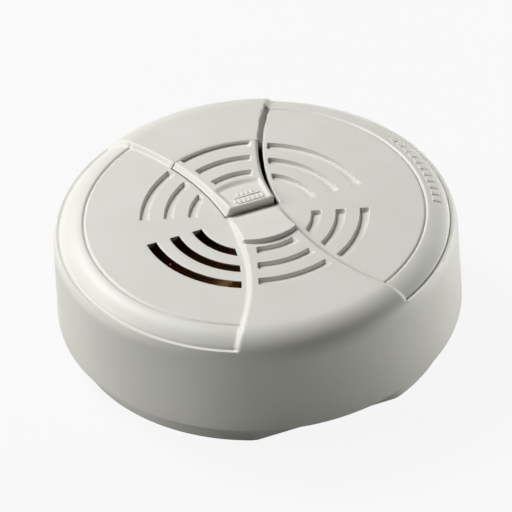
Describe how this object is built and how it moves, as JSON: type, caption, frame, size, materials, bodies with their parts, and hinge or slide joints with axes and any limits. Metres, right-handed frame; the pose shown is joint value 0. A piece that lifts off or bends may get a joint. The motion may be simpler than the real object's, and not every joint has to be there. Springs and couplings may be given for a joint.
{
  "type": "carbon monoxide detector",
  "caption": "Round battery carbon monoxide alarm with a raised hourglass panel, ring slots, a test lever and a twist-lock bracket.",
  "frame": {"origin": "centre of the bracket's back face, which is the centre of the box's bottom", "axes": "+Z out of the grille, away from the wall; +Y from the middle of the face along the test lever; +X to the right of it"},
  "size_m": [0.1268, 0.1268, 0.0439],
  "materials": {
    "shell_abs": "moulded ABS, warm white, fine spark texture",
    "housing_abs": "moulded ABS, warm white, plain",
    "phenolic_board": "paper phenolic laminate, brown",
    "black_plastic": "moulded black plastic",
    "tinned_steel": "tin plated steel",
    "brass_disc": "rolled brass",
    "fired_ceramic": "fired ceramic, silvered",
    "sensor_metal": "drawn metal can",
    "seal_rubber": "moulded rubber",
    "charcoal_cloth": "charcoal felt",
    "sensor_nylon": "moulded nylon",
    "red_lens": "tinted epoxy",
    "green_lens": "tinted epoxy",
    "ferrite": "ferrite and enamelled wire",
    "capacitor_sleeve": "shrink sleeve",
    "capacitor_resin": "dipped resin",
    "resistor_lacquer": "lacquered body",
    "battery_jacket": "printed steel jacket, plain dark grey"
  },
  "bodies": {
    "bracket": {"mounting_bracket": "shell_abs"},
    "alarm": {"front_cover": "shell_abs", "back_housing": "housing_abs", "circuit_board": "phenolic_board", "board_screws": "tinned_steel", "horn_housing": "black_plastic", "piezo_disc": "brass_disc", "piezo_ceramic": "fired_ceramic", "horn_contacts": "tinned_steel", "co_sensor_can": "sensor_metal", "co_sensor_cap": "sensor_nylon", "co_sensor_filter": "charcoal_cloth", "co_sensor_seal": "seal_rubber", "co_sensor_pins": "tinned_steel", "switch_body": "black_plastic", "red_led": "red_lens", "green_led": "green_lens", "microcontroller": "black_plastic", "driver_chip": "black_plastic", "boost_inductor": "ferrite", "electrolytic_capacitors": "capacitor_sleeve", "ceramic_capacitors": "capacitor_resin", "resistors": "resistor_lacquer", "battery_contacts": "tinned_steel", "battery_case": "battery_jacket", "battery_studs": "tinned_steel"},
    "lever": {"test_button": "shell_abs"},
    "plunger": {"switch_plunger": "black_plastic"},
    "door": {"battery_door": "housing_abs"}
  },
  "joints": [
    {"name": "twist_lock", "type": "hinge", "parent": "bracket", "child": "alarm", "pos_m": [0, 0, 0.003], "axis": [0, 0, 1], "range_deg": [0, 25]},
    {"name": "test_lever", "type": "hinge", "parent": "alarm", "child": "lever", "pos_m": [0, 0.0335, 0.0373], "axis": [1, 0, 0], "range_deg": [0, 2.5], "stiffness_Nm_per_rad": 3},
    {"name": "switch_travel", "type": "slide", "parent": "alarm", "child": "plunger", "axis": [0, 0, -1], "range_m": [0, 0.00125]},
    {"name": "battery_door", "type": "hinge", "parent": "alarm", "child": "door", "pos_m": [0, -0.0058, 0.0044], "axis": [-1, 0, 0], "range_deg": [0, 90]}
  ],
  "couplings": [
    {"joint": "switch_travel", "follows": "test_lever", "m_per_rad": 0.0275}
  ]
}
